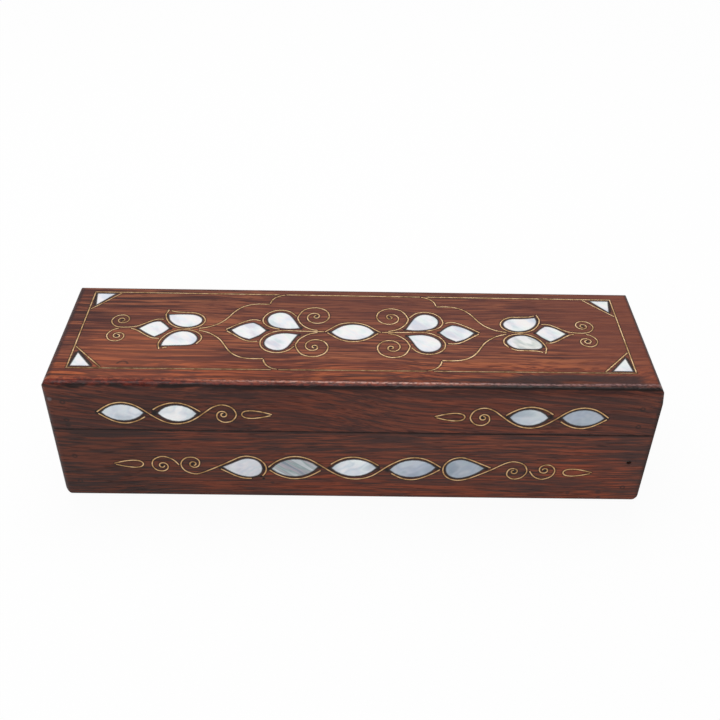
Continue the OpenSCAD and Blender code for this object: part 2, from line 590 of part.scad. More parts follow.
// Countersunk screw, its head level with the leaf and its slot turned by an angle
module screw(slot_turn) {
    difference() {
        union() {
            translate([0, 0, -screw_l]) cylinder(h = screw_l, d = screw_d);
            translate([0, 0, -screw_head_h])
                cylinder(h = screw_head_h, d1 = screw_d, d2 = screw_head_d);
        }
        rotate([0, 0, slot_turn])
            cube([screw_head_d + over, screw_slot_w, screw_head_h], center = true);
    }
}
module hinge_screws() {
    for (side = [-1, 1], x = [-screw_x, screw_x])
        translate([side * hinge_x + x, hinge_y + screw_y, -leaf_gap / 2])
            screw(40 + side * 25 + x * 7);
}

// ==== Corner pins ====
// Every pin of one frame, driven in from the front and from the back
module at_pins(heights) {
    for (face = [-1, 1], end = [-1, 1], z = heights)
        translate([end * (half_l - pin_from_end), face * half_d, z])
            rotate([face * 90, 0, 0]) children();
}
base_pin_heights = [base_pin_low, base_pin_high];
lid_pin_heights = [base_h + lid_pin_low, base_h + lid_pin_high];

module pin() {
    translate([0, 0, pin_set]) cylinder(h = pin_head_t, d = pin_head_d);
    translate([0, 0, pin_set]) cylinder(h = pin_l, d = pin_d);
}
module pin_hole() {
    translate([0, 0, -over]) cylinder(h = pin_set + pin_head_t + over, d = pin_head_d);
    translate([0, 0, pin_set]) cylinder(h = pin_l, d = pin_d);
}
module pin_filler() { cylinder(h = pin_set, d = pin_head_d); }

// ==== Boards of the base ====
module base_front_board() {
    color(WOOD_SIDE) difference() {
        intersection() {
            outer_form();
            block([-half_l, -half_d, 0], [half_l, -inner_d / 2, base_h]);
        }
        seam_bevels();
        at_pins(base_pin_heights) pin_hole();
        on_front() {
            pearl_pockets(base_pearls_at);
            wire_grooves(base_lens_curves);
            wire_grooves(base_scroll_curves);
        }
    }
}
module base_back_board() {
    color(WOOD_SIDE) difference() {
        intersection() {
            outer_form();
            block([-half_l, inner_d / 2, 0], [half_l, half_d, base_h]);
        }
        seam_bevels();
        stop_wedge();
        at_pins(base_pin_heights) pin_hole();
        for (side = [-1, 1]) at_hinge(side) hinge_mortise();
    }
}
module base_end(side) {
    color(WOOD_SIDE) difference() {
        intersection() {
            outer_form();
            block([side < 0 ? -half_l : inner_l / 2, -inner_d / 2, 0],
                [side < 0 ? -inner_l / 2 : half_l, inner_d / 2, base_h]);
        }
        seam_bevels();
        at_pins(base_pin_heights) pin_hole();
    }
}
module base_left_end() { base_end(-1); }
module base_right_end() { base_end(1); }
module base_bottom_board() {
    color(WOOD_SIDE) block([-inner_l / 2, -inner_d / 2, 0], [inner_l / 2, inner_d / 2, bottom_t]);
}
module base_corner_pins() { color(STEEL) at_pins(base_pin_heights) pin(); }
// One hole has lost its filler: the upper one at the right of the front
module base_pin_fillers() {
    color(WOOD_SIDE) difference() {
        at_pins(base_pin_heights) pin_filler();
        translate([half_l - pin_from_end, -half_d, base_pin_high])
            cube(2 * pin_head_d, center = true);
    }
}
module base_pearls() { on_front() pearls(base_pearls_at); }
module base_mastic() { on_front() mastic(base_pearls_at); }
module base_lens_wires() { on_front() wires(base_lens_curves); }
module base_scroll_wires() { on_front() wires(base_scroll_curves); }

// ==== Boards of the lid ====
module lid_top_board() {
    color(WOOD_TOP) difference() {
        intersection() {
            outer_form();
            block([-half_l, -half_d, frame_top], [half_l, half_d, box_h]);
        }
        on_top() {
            pearl_pockets(top_flower_pearls_at);
            pearl_pockets(top_corner_pearls_at);
            for (lines = top_curves) wire_grooves(lines);
        }
    }
}
module lid_front_board() {
    color(WOOD_SIDE) difference() {
        intersection() {
            outer_form();
            block([-half_l, -half_d, base_h], [half_l, -inner_d / 2, frame_top]);
        }
        seam_bevels();
        at_pins(lid_pin_heights) pin_hole();
        on_front() {
            pearl_pockets(lid_front_pearls_at);
            wire_grooves(lid_front_curves);
        }
    }
}
module lid_back_board() {
    color(WOOD_SIDE) difference() {
        intersection() {
            outer_form();
            block([-half_l, inner_d / 2, base_h], [half_l, half_d, frame_top]);
        }
        seam_bevels();
        translate([0, 0, 2 * base_h]) lid_side() stop_wedge();
        at_pins(lid_pin_heights) pin_hole();
        for (side = [-1, 1]) at_hinge(side) lid_side() hinge_mortise();
    }
}
module lid_end(side) {
    color(WOOD_SIDE) difference() {
        intersection() {
            outer_form();
            block([side < 0 ? -half_l : inner_l / 2, -inner_d / 2, base_h],
                [side < 0 ? -inner_l / 2 : half_l, inner_d / 2, frame_top]);
        }
        seam_bevels();
        at_pins(lid_pin_heights) pin_hole();
    }
}
module lid_left_end() { lid_end(-1); }
module lid_right_end() { lid_end(1); }
module lid_corner_pins() { color(STEEL) at_pins(lid_pin_heights) pin(); }
module lid_pin_fillers() { color(WOOD_SIDE) at_pins(lid_pin_heights) pin_filler(); }
module top_flower_pearls() { on_top() pearls(top_flower_pearls_at); }
module top_corner_pearls() { on_top() pearls(top_corner_pearls_at); }
module top_mastic() { on_top() mastic(concat(top_flower_pearls_at, top_corner_pearls_at)); }
module top_border_wires() { on_top() wires(top_curves[0]); }
module top_arch_wires() { on_top() wires(top_curves[1]); }
module top_flower_wires() { on_top() wires(top_curves[2]); }
module top_scroll_wires() { on_top() wires(top_curves[3]); }
module lid_front_pearls() { on_front() pearls(lid_front_pearls_at); }
module lid_front_mastic() { on_front() mastic(lid_front_pearls_at); }
module lid_front_wires() { on_front() wires(lid_front_curves); }

// ==== Lining ====
lined_l = inner_l - 2 * lining_gap;
lined_d = inner_d - 2 * lining_gap;

// One flat card over the whole of a floor or ceiling
module flat_lining(z) {
    color(VELVET) block([-lined_l / 2, -lined_d / 2, z], [lined_l / 2, lined_d / 2, z + lining_t]);
}
// Four cards along the walls; the long ones run between the short ones
module wall_lining(z0, z1) {
    long_l = lined_l / 2 - lining_t - lining_gap;
    color(VELVET) for (side = [-1, 1]) {
        scale([side, 1, 1])
            block([lined_l / 2 - lining_t, -lined_d / 2, z0], [lined_l / 2, lined_d / 2, z1]);
        scale([1, side, 1])
            block([-long_l, lined_d / 2 - lining_t, z0], [long_l, lined_d / 2, z1]);
    }
}
module base_floor_lining() { flat_lining(bottom_t); }
module base_wall_linings() {
    wall_lining(bottom_t + lining_t + lining_gap, base_h - lining_below_seam);
}
module lid_ceiling_lining() { flat_lining(frame_top - lining_t); }
module lid_wall_linings() {
    wall_lining(base_h + lining_below_seam, frame_top - lining_t - lining_gap);
}

// ==== Hinges ====
// The base's leaf has the two outer knuckles, the lid's leaf the middle one
module hinge_base_leaf(side) { color(BRASS) at_hinge(side) leaf([-1, 1]); }
module hinge_lid_leaf(side) { color(BRASS) at_hinge(side) lid_side() leaf([0]); }
module left_hinge_base_leaf() { hinge_base_leaf(-1); }
module left_hinge_lid_leaf() { hinge_lid_leaf(-1); }
module left_hinge_pin() { color(BRASS) at_hinge(-1) hinge_pin(); }
module right_hinge_base_leaf() { hinge_base_leaf(1); }
module right_hinge_lid_leaf() { hinge_lid_leaf(1); }
module right_hinge_pin() { color(BRASS) at_hinge(1) hinge_pin(); }
module base_hinge_screws() { color(BRASS) translate([0, 0, base_h]) hinge_screws(); }
module lid_hinge_screws() { color(BRASS) translate([0, 0, base_h]) lid_side() hinge_screws(); }

base_front_board();
base_back_board();
base_left_end();
base_right_end();
base_bottom_board();
base_corner_pins();
base_pin_fillers();
base_pearls();
base_mastic();
base_lens_wires();
base_scroll_wires();
base_floor_lining();
base_wall_linings();
lid_top_board();
lid_front_board();
lid_back_board();
lid_left_end();
lid_right_end();
lid_corner_pins();
lid_pin_fillers();
top_flower_pearls();
top_corner_pearls();
top_mastic();
top_border_wires();
top_arch_wires();
top_flower_wires();
top_scroll_wires();
lid_front_pearls();
lid_front_mastic();
lid_front_wires();
lid_ceiling_lining();
lid_wall_linings();
left_hinge_base_leaf();
left_hinge_lid_leaf();
left_hinge_pin();
right_hinge_base_leaf();
right_hinge_lid_leaf();
right_hinge_pin();
base_hinge_screws();
lid_hinge_screws();
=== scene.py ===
import math

import bmesh
import bpy
from mathutils import Matrix, Vector


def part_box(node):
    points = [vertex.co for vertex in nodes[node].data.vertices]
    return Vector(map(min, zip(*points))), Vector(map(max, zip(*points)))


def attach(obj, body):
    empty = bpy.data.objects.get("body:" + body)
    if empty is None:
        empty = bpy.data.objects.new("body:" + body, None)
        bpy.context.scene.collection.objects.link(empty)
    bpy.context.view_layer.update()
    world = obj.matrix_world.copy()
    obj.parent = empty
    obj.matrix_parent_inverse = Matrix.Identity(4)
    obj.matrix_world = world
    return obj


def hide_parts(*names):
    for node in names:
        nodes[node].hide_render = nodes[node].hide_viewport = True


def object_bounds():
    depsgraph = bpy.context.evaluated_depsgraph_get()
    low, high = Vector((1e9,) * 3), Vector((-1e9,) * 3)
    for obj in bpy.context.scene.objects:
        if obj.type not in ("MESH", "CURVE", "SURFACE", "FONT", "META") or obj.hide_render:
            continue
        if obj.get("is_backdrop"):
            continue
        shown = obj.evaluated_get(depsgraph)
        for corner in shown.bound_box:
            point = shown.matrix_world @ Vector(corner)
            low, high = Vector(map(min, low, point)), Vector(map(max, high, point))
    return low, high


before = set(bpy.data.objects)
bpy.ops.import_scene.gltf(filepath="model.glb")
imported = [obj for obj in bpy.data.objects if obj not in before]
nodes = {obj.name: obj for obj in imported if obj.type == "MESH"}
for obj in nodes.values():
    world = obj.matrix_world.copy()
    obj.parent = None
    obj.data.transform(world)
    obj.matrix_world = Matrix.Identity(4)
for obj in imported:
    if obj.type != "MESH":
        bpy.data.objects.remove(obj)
cad_low, cad_high = (Vector(corner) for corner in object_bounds())

# ---- The table ----
# The box stands on a white table that has no edge in sight. The table keeps a faint shadow
# under the box and shows white to the eye and in anything glossy.

TABLE_REACH = 3.0

scene = bpy.context.scene
scene.view_settings.view_transform = "Standard"


def add(tree, kind, sockets=None, **settings):
    """A shader node. sockets gives its inputs, each as a value or as another node's output."""
    made = tree.nodes.new("ShaderNode" + kind)
    for name, value in settings.items():
        setattr(made, name, value)
    for name, value in (sockets or {}).items():
        if isinstance(value, bpy.types.NodeSocket):
            tree.links.new(value, made.inputs[name])
        else:
            made.inputs[name].default_value = value
    return made


def calc(tree, operation, first, second=0.0):
    """One sum on one or two values."""
    return add(tree, "Math", {0: first, 1: second}, operation=operation).outputs[0]


def either(tree, first, second):
    """The larger of two shares, so 1 where either of them is 1."""
    return calc(tree, "MAXIMUM", first, second)


def seen_or_mirrored(tree):
    """1 for what the eye sees, straight on or in a glossy or clear surface."""
    ray = add(tree, "LightPath").outputs
    seen = either(tree, ray["Is Camera Ray"], ray["Is Glossy Ray"])
    return either(tree, seen, ray["Is Transmission Ray"])


table_white = bpy.data.materials.new("table_white")
table_white.use_nodes = True
tree = table_white.node_tree
tree.nodes.clear()
paint = add(tree, "BsdfDiffuse", {"Color": (0.82, 0.82, 0.82, 1)})
glow = add(tree, "Emission", {"Color": (1, 1, 1, 1), "Strength": 1.0})
share = calc(tree, "MULTIPLY", seen_or_mirrored(tree), 0.95)
table_look = add(tree, "MixShader", {0: share, 1: paint.outputs[0], 2: glow.outputs[0]})
tree.links.new(table_look.outputs[0], add(tree, "OutputMaterial").inputs["Surface"])

form = bmesh.new()
bmesh.ops.create_grid(form, x_segments=1, y_segments=1, size=TABLE_REACH)
table_mesh = bpy.data.meshes.new("table")
form.to_mesh(table_mesh)
form.free()
table = bpy.data.objects.new("table", table_mesh)
table.data.materials.append(table_white)
scene.collection.objects.link(table)
table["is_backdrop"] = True

# ---- The light ----
# A white room with a wide soft light over the box, a little behind it, which draws a sheen
# along the rounded front edge, and a weaker one in front for the front face.

BOX_MIDDLE = Vector((0, 0, 0.04))

world = bpy.data.worlds.new("white_room")
world.use_nodes = True
scene.world = world
tree = world.node_tree
tree.nodes.clear()
seen = add(tree, "LightPath").outputs["Is Camera Ray"]
room = add(tree, "Background", {"Color": (1, 1, 1, 1), "Strength": 0.42})
white = add(tree, "Background", {"Color": (1, 1, 1, 1), "Strength": 1.0})
room_look = add(tree, "MixShader", {0: seen, 1: room.outputs[0], 2: white.outputs[0]})
tree.links.new(room_look.outputs[0], add(tree, "OutputWorld").inputs["Surface"])


def soft_light(name, place, size, power):
    """A rectangular soft light at place that faces the middle of the box."""
    lamp = bpy.data.lights.new(name, "AREA")
    lamp.shape = "RECTANGLE"
    lamp.size, lamp.size_y = size
    lamp.energy = power
    made = bpy.data.objects.new(name, lamp)
    made.location = place
    made.rotation_euler = (BOX_MIDDLE - Vector(place)).to_track_quat("-Z", "Y").to_euler()
    scene.collection.objects.link(made)


soft_light("light_above", (-0.15, 0.3, 1.0), (1.2, 0.5), 8.5)
soft_light("light_front", (-0.4, -1.1, 0.6), (0.9, 0.6), 3.2)

# ---- The camera ----
# It looks down on the box's front from arm's length, a little left of its middle, and is held
# very slightly askew.

EYE = (-0.00172, -0.32513, 0.30154)
LENS = 47.2
PITCH, YAW, ROLL = math.radians(37.88), math.radians(0.774), math.radians(1.22)

camera = bpy.data.objects.new("camera", bpy.data.cameras.new("camera"))
camera.data.lens = LENS
camera.data.sensor_width = 36
camera.data.clip_start = 0.01
camera.matrix_world = (
    Matrix.Translation(EYE)
    @ Matrix.Rotation(-YAW, 4, "Z")
    @ Matrix.Rotation(math.pi / 2 - PITCH, 4, "X")
    @ Matrix.Rotation(ROLL, 4, "Z")
)
scene.collection.objects.link(camera)
scene.camera = camera

# ---- The boards of the base ----
# Rosewood front and back boards 8 mm thick, nailed to 10 mm ends round a 5 mm bottom, and rubbed
# with dark red oil. Grime lies along the outer edges, and painted shade along the brinks of the cut
# grooves and on both sides of the seam.

HALF_L, HALF_D, TOP = cad_high
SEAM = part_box("lid_front_board")[0][2]
EDGE_SHADE_REACH = 0.0007


def tint(red, green, blue):
    """A colour given as it shows on a screen, 0 to 255, turned into what a shader takes."""
    return tuple(((c / 255 + 0.055) / 1.055) ** 2.4 for c in (red, green, blue)) + (1.0,)


def unsigned(tree, value):
    """value without its sign."""
    return calc(tree, "ABSOLUTE", value)


def times(tree, *factors):
    """The product of any number of values."""
    product = factors[0]
    for factor in factors[1:]:
        product = calc(tree, "MULTIPLY", product, factor)
    return product


def ease(tree, value, start, end, low=0.0, high=1.0):
    """value from start to end turned smoothly into low to high."""
    sockets = {"Value": value, "From Min": start, "From Max": end, "To Min": low, "To Max": high}
    return add(tree, "MapRange", sockets, interpolation_type="SMOOTHSTEP").outputs[0]


def vector_sum(tree, operation, first, second):
    """The node for one sum on two vectors."""
    return add(tree, "VectorMath", {0: first, 1: second}, operation=operation)


def noise(tree, place, stretch, detail=2.0, roughness=0.5):
    """Soft noise, stretch times per metre along each axis."""
    spread = vector_sum(tree, "MULTIPLY", place, stretch)
    sockets = {"Vector": spread.outputs[0], "Scale": 1.0, "Detail": detail, "Roughness": roughness}
    return add(tree, "TexNoise", sockets).outputs["Fac"]


def tones(tree, share, stops):
    """The colours of stops, as (place, colour), at share from 0 to 1."""
    made = add(tree, "ValToRGB", {"Fac": share})
    ramp = made.color_ramp
    while len(ramp.elements) < len(stops):
        ramp.elements.new(0.5)
    for element, (place, colour) in zip(ramp.elements, stops):
        element.position = place
        element.color = colour
    return made.outputs["Color"]


def over(tree, share, below, above, kind="MIX"):
    """above laid over the colour below, at share from 0 to 1."""
    made = add(tree, "Mix", data_type="RGBA", blend_type=kind)
    for socket, value in ((made.inputs[0], share), (made.inputs[6], below), (made.inputs[7], above)):
        if isinstance(value, bpy.types.NodeSocket):
            tree.links.new(value, socket)
        else:
            socket.default_value = value
    return made.outputs[2]


def axes(tree, place):
    """place as its three numbers."""
    return add(tree, "SeparateXYZ", {0: place}).outputs


def turned(tree, place, shift, turn):
    """place moved and then turned, in metres and degrees."""
    angles = tuple(math.radians(angle) for angle in turn)
    return add(tree, "Mapping", {"Vector": place, "Location": shift, "Rotation": angles}).outputs[0]


def finish_of(name, roughness, constants=None):
    """A new material with its tree, its shader and the place on the object.

    constants gives the shader's sockets that are the same all over.
    """
    made = bpy.data.materials.new(name)
    made.use_nodes = True
    tree = made.node_tree
    shader = tree.nodes["Principled BSDF"]
    shader.inputs["Roughness"].default_value = roughness
    for socket, value in (constants or {}).items():
        shader.inputs[socket].default_value = value
    return made, tree, shader, add(tree, "TexCoord").outputs["Object"]


def dress(material, *names):
    """Gives CAD nodes their material."""
    for name in names:
        nodes[name].data.materials.clear()
        nodes[name].data.materials.append(material)


def away_from(tree, place, centre):
    """How far place is from centre."""
    return vector_sum(tree, "DISTANCE", place, centre).outputs["Value"]


def spot(tree, place, centre, reach):
    """1 around centre, falling to 0 at reach from it."""
    return ease(tree, away_from(tree, place, centre), reach, reach * 0.4)


def occluded_edge(tree, reach):
    """Painted shade from occlusion: 1 along a piece's own edges and the brinks of its grooves, falling to
    0 at reach from them.
    """
    within = add(tree, "AmbientOcclusion", {"Distance": reach}, inside=True, only_local=True, samples=6)
    return ease(tree, within.outputs["AO"], 0.94, 0.62)


def wood_look(tree, place, log):
    """Colour, height and roughness of oiled wood. Its grain runs along X before log's turn."""
    board = turned(tree, place, log["shift"], log["turn"])
    sway = times(tree, calc(tree, "SUBTRACT", noise(tree, board, (10, 14, 14), 1), 0.5), log["sway"])
    bend = add(tree, "CombineXYZ", {1: sway, 2: sway}).outputs[0]
    along = vector_sum(tree, "ADD", board, bend).outputs[0]

    # Three layers of streaks, each given as its fineness along and across the grain and its share
    short, fine = log["short"], log["fine"]
    layers = ((7, 110, 0.16), (short, fine, 0.36), (2 * short, 1.7 * fine, 0.34))
    grain = 0.0
    for long, across, share in layers:
        layer = ease(tree, noise(tree, along, (long, across, across), 3), 0.39, 0.61)
        grain = calc(tree, "ADD", grain, times(tree, layer, share))
    fibres = noise(tree, along, (140, 2400, 2400), 2, 0.6)
    grain = calc(tree, "ADD", grain, times(tree, fibres, 0.14))
    colour = tones(tree, grain, [(0.24, log["dark"]), (0.5, log["middle"]), (0.76, log["light"])])

    # Darker veins, a few millimetres apart, that thin out and come back
    narrow = 0.75 * fine
    veins = ease(tree, noise(tree, along, (13, narrow, narrow), 3), 0.51, 0.6)
    reach = ease(tree, noise(tree, along, (22, 60, 60), 1), 0.34, 0.56)
    colour = over(tree, times(tree, veins, reach, log["veins"]), colour, log["vein"])

    # Open pores, short dark dashes along the grain
    dashes = ease(tree, noise(tree, along, (120, 1700, 1700), 1), 0.58, 0.68)
    colour = over(tree, times(tree, dashes, 0.55), colour, log["vein"])

    height = calc(tree, "SUBTRACT", times(tree, fibres, 0.5), dashes)
    gloss = ease(tree, grain, 0.2, 0.8, 0.42, 0.54)
    return colour, height, calc(tree, "ADD", gloss, times(tree, dashes, 0.2))


def grime_and_seam_shade(tree, place):
    """Where grime has gathered along the box's outer edges, and painted shade on both sides of the seam.
    """
    x, y, z = axes(tree, place)
    end = ease(tree, unsigned(tree, x), HALF_L - 0.0024, HALF_L - 0.0002)
    face = ease(tree, unsigned(tree, y), HALF_D - 0.0022, HALF_D - 0.0002)
    from_seam = unsigned(tree, calc(tree, "SUBTRACT", z, SEAM))
    level = either(tree, ease(tree, z, 0.0018, 0.0002), ease(tree, z, TOP - 0.002, TOP - 0.0002))
    level = either(tree, level, ease(tree, from_seam, 0.0009, 0.0003))
    flat_edge = either(tree, times(tree, face, level), times(tree, end, level))
    edge = either(tree, times(tree, end, face), flat_edge)
    return times(tree, edge, ease(tree, noise(tree, place, (240, 240, 240), 3), 0.3, 0.6, 0.45, 0.9))


def finish_wood(tree, shader, colour, height, gloss):
    """Joins a wood's colour, bump and roughness to its shader."""
    tree.links.new(colour, shader.inputs["Base Color"])
    tree.links.new(gloss, shader.inputs["Roughness"])
    bump = add(tree, "Bump", {"Height": height, "Strength": 0.5, "Distance": 0.0001})
    tree.links.new(bump.outputs[0], shader.inputs["Normal"])


# The colour of grime, also used for painted shade along brinks and the seam
GRIME_AND_SHADE = tint(40, 26, 24)
BLACK_GRIME = tint(28, 18, 17)


def wood(name, log, **changes):
    """The wood of the sides: log's grain, then its runs, warm patches, black grime, marks, painted shade
    along its groove brinks, and grime with painted seam shade.
    """
    made, tree, shader, place = finish_of(name, 0.45, {"Specular IOR Level": 0.2})
    colour, height, gloss = wood_look(tree, place, {**log, **changes})
    x, y, z = axes(tree, place)
    for start, end, below, above in log["runs"]:
        run = ease(tree, x, start, end, below, above)
        shade = add(tree, "CombineColor", {0: run, 1: run, 2: run}).outputs[0]
        colour = over(tree, 1.0, colour, shade, "MULTIPLY")
    for across, up, reach in log["warm"]:
        patch = spot(tree, place, (across, -HALF_D, up), reach)
        colour = over(tree, times(tree, patch, 0.8), colour, (1.24, 1.1, 1.0, 1), "MULTIPLY")
    for across, up, reach in log["darks"]:
        colour = over(tree, spot(tree, place, (across, -HALF_D, up), reach), colour, BLACK_GRIME)
    for across, up, reach, mark in log["marks"]:
        dab = spot(tree, place, (across, -HALF_D, up), reach)
        colour = over(tree, times(tree, dab, 0.6), colour, mark)
    low, high = log["inlay"]
    # Painted shade along the brinks of the grooves and pockets in the front's inlay
    brink = times(
        tree,
        occluded_edge(tree, EDGE_SHADE_REACH),
        ease(tree, y, -HALF_D + 0.001, -HALF_D + 0.0005),
        ease(tree, z, low, low + 0.001),
        ease(tree, z, high, high - 0.001),
        ease(tree, unsigned(tree, x), HALF_L - 0.002, HALF_L - 0.003),
    )
    colour = over(tree, times(tree, brink, 0.75), colour, GRIME_AND_SHADE)
    finish_wood(tree, shader, over(tree, grime_and_seam_shade(tree, place), colour, GRIME_AND_SHADE), height, gloss)
    return made


# A log is cut at a shift and a turn. Its grain sways, and fine and short count its streaks per
# metre across and along it. Each of its runs goes from one place along the box to another, and
# gives what its colour is multiplied by at both. Its inlay lies between two heights. Warm patches
# and black grime are across, up and reach, and a mark has its colour too.
BASE_LOG = {
    "shift": (0.77, 0.19, 0.05),
    "turn": (0, 0, 0),
    "sway": 0.01,
    "fine": 860,
    "short": 32,
    "veins": 0.34,
    "dark": tint(64, 39, 35),
    "middle": tint(90, 49, 38),
    "light": tint(122, 64, 46),
    "vein": tint(44, 29, 29),
    "inlay": (0.0012, SEAM - 0.0012),
    "runs": ((-0.1, -0.06, 0.68, 0.96), (-0.02, 0.03, 1.0, 1.14)),
    "warm": (
        (-0.055, 0.024, 0.034), (-0.02, 0.006, 0.03), (0.002, 0.004, 0.034),
        (0.045, 0.006, 0.034), (0.1, 0.02, 0.024), (0.1, 0.006, 0.03),
    ),
    "darks": (
        (-0.0676, 0.0191, 0.0013), (-0.0809, 0.0179, 0.0013), (0.069, 0.0167, 0.0013),
        (0.0821, 0.0177, 0.0013), (-0.0561, 0.0174, 0.0017), (-0.0372, 0.017, 0.0018),
        (-0.0354, 0.0168, 0.0014), (-0.0141, 0.0181, 0.0014), (-0.0097, 0.0175, 0.0017),
        (0.0109, 0.0179, 0.0014), (0.015, 0.0169, 0.0018), (0.0362, 0.0184, 0.0019),
        (0.039, 0.018, 0.0016), (0.057, 0.0184, 0.0015), (-0.0392, 0.0122, 0.0009),
        (-0.0382, 0.0109, 0.0009),
    ),
    "marks": (
        (0.1072, 0.005, 0.0018, tint(44, 30, 30)), (0.1078, 0.0014, 0.0014, tint(44, 30, 30)),
        (0.094, 0.0042, 0.0013, tint(52, 34, 33)), (-0.0345, 0.0085, 0.0012, tint(50, 32, 31)),
    ),
}

base_boards = ("base_front_board", "base_back_board", "base_bottom_board", "base_pin_fillers")
dress(wood("base_wood", BASE_LOG), *base_boards)
dress(wood("base_end_wood", BASE_LOG, turn=(0, 0, 90)), "base_left_end", "base_right_end")

# ---- The boards of the lid's sides ----
# Four boards like the base's, from a slightly darker log with longer streaks, nailed at the
# corners in the same way. Small knocks show at the ends of the front.

LID_LOG = {
    "shift": (0.31, 0.07, 0.02),
    "turn": (0, -6, 0),
    "sway": 0.014,
    "fine": 820,
    "short": 20,
    "veins": 0.4,
    "dark": tint(67, 39, 34),
    "middle": tint(86, 46, 37),
    "light": tint(112, 59, 43),
    "vein": tint(46, 28, 28),
    "inlay": (SEAM + 0.0012, TOP - 0.0055),
    "runs": ((-0.09, -0.03, 0.84, 0.94), (-0.02, 0.03, 1.0, 1.18), (0.09, 0.11, 1.0, 0.86)),
    "warm": ((0.045, 0.056, 0.03), (-0.02, 0.046, 0.024)),
    "darks": (
        (0.053, 0.047, 0.0013), (-0.053, 0.047, 0.0013), (-0.1038, 0.0477, 0.0018),
        (-0.0846, 0.0475, 0.0012), (-0.0808, 0.0475, 0.002), (-0.0632, 0.0475, 0.0013),
        (0.063, 0.0474, 0.0014), (0.0804, 0.048, 0.0018), (0.0843, 0.0473, 0.0015),
        (0.1036, 0.0476, 0.0015),
    ),
    "marks": (
        (-0.1223, 0.0543, 0.0013, tint(116, 106, 108)), (0.1242, 0.0502, 0.0012, tint(24, 16, 16)),
        (-0.117, 0.0405, 0.0016, tint(30, 22, 22)),
    ),
}

dress(wood("lid_wood", LID_LOG), "lid_front_board", "lid_back_board", "lid_pin_fillers")
dress(wood("lid_end_wood", LID_LOG, turn=(0, 0, 90)), "lid_left_end", "lid_right_end")

# ---- The top board ----
# A redder rosewood board 4.5 mm thick, glued over the lid's sides. Its front edge is worn into a
# mottled roll with a painted highlight and painted shade, ending in a ragged dark lip of painted
# shade, and its other edges are worn dark.

TOP_LOG = {
    "shift": (0, 0, 0),
    "turn": (0, 0, 0.8),
    "fine": 740,
    "short": 26,
    "dark": tint(80, 39, 32),
    "middle": tint(115, 60, 43),
    "light": tint(147, 84, 55),
    "vein": tint(58, 30, 28),
}
# Places that hold black grime, as across, along the depth and reach
TOP_DARKS = (
    (0.0156, 0.01325, 0.0009), (0.0156, -0.00845, 0.0009), (-0.0168, 0.0133, 0.0009),
    (-0.0168, -0.0085, 0.0009), (0.0995, 0.00873, 0.0009), (0.0995, -0.00233, 0.0009),
    (-0.1007, 0.00888, 0.0009), (-0.1007, -0.00247, 0.0009), (-0.0103, 0.00205, 0.0012),
    (-0.0231, 0.0045, 0.0013), (-0.0236, -0.0003, 0.0013), (-0.0535, 0.00265, 0.0016),
    (-0.0372, 0.00265, 0.0012), (-0.0789, 0.0029, 0.0013), (-0.0816, 0.0131, 0.0013),
    (-0.0816, -0.0095, 0.0015), (-0.0928, 0.00285, 0.0011), (0.0091, 0.0021, 0.0011),
    (0.0217, 0.0045, 0.0011), (0.0224, -0.0001, 0.0011), (0.0522, 0.0026, 0.0014),
    (0.0362, 0.0026, 0.0011), (0.0779, 0.003, 0.0012), (0.0803, 0.013, 0.0012),
    (0.0803, -0.0062, 0.0014), (0.0916, 0.0029, 0.0011),
)
# Lines of grime beside the corner triangles, each from one point to another
CORNER_GAPS = (
    ((0.1149, -0.0222), (0.1141, -0.0142)), ((0.1149, 0.0276), (0.1141, 0.0202)),
    ((-0.1161, -0.0232), (-0.1154, -0.0146)), ((-0.1161, 0.0286), (-0.1154, 0.0206)),
    ((-0.107, -0.0229), (-0.1138, -0.014)),
)
RING_CENTRE, RING_RADIUS = (-0.0947, -0.0222, TOP), 0.0022
# Where the painted highlight runs along the roll, along the depth
HIGHLIGHT_Y = -0.0319
DARK_WOOD = tint(52, 34, 34)


def stroke(tree, place, start, end, reach):
    """1 along a straight line from start to end, falling to 0 at reach beside it."""
    run = Vector(end) - Vector(start)
    off = vector_sum(tree, "SUBTRACT", place, start).outputs[0]
    unit = tuple(run / run.length_squared)
    share = vector_sum(tree, "DOT_PRODUCT", off, unit).outputs["Value"]
    share = add(tree, "Clamp", {"Value": share}).outputs[0]
    foot = add(tree, "VectorMath", {0: tuple(run), "Scale": share}, operation="SCALE").outputs[0]
    return ease(tree, away_from(tree, off, foot), reach, reach * 0.5)


# Dark streaks at its left, flames of orange along its front, calm at its right
top_wood, tree, shader, place = finish_of("top_wood", 0.45, {"Specular IOR Level": 0.2})
x, y, z = axes(tree, place)
to_front = ease(tree, y, -0.014, -0.026)
to_left = ease(tree, x, -0.045, -0.08)
to_back = ease(tree, y, -0.006, 0.03)
sway = calc(tree, "ADD", times(tree, to_front, 0.03), 0.008)
veins = calc(tree, "ADD", times(tree, either(tree, to_front, to_left), 0.5), 0.32)
colour, height, gloss = wood_look(tree, place, {**TOP_LOG, "sway": sway, "veins": veins})
colour = over(tree, times(tree, to_front, 0.9), colour, (1.26, 1.0, 0.74, 1), "MULTIPLY")
colour = over(tree, times(tree, to_back, 0.8), colour, (0.82, 0.88, 1.0, 1), "MULTIPLY")
colour = over(tree, times(tree, ease(tree, x, 0.08, 0.105), 0.55), colour, tint(118, 62, 46))
pale = spot(tree, place, (-0.086, -0.015, TOP), 0.036)
colour = over(tree, times(tree, pale, 0.9), colour, (1.34, 1.16, 1.0, 1), "MULTIPLY")
colour = over(tree, times(tree, pale, 0.42), colour, tint(136, 78, 54))
calm = times(tree, ease(tree, x, -0.06, -0.03), ease(tree, y, -0.014, 0.0), 0.34)
colour = over(tree, calm, colour, tint(98, 52, 42))
ribbons = times(tree, to_left, ease(tree, noise(tree, place, (6, 215, 215), 1), 0.5, 0.58))
colour = over(tree, times(tree, ribbons, 0.62), colour, tint(62, 32, 32))
colour = over(tree, grime_and_seam_shade(tree, place), colour, GRIME_AND_SHADE)

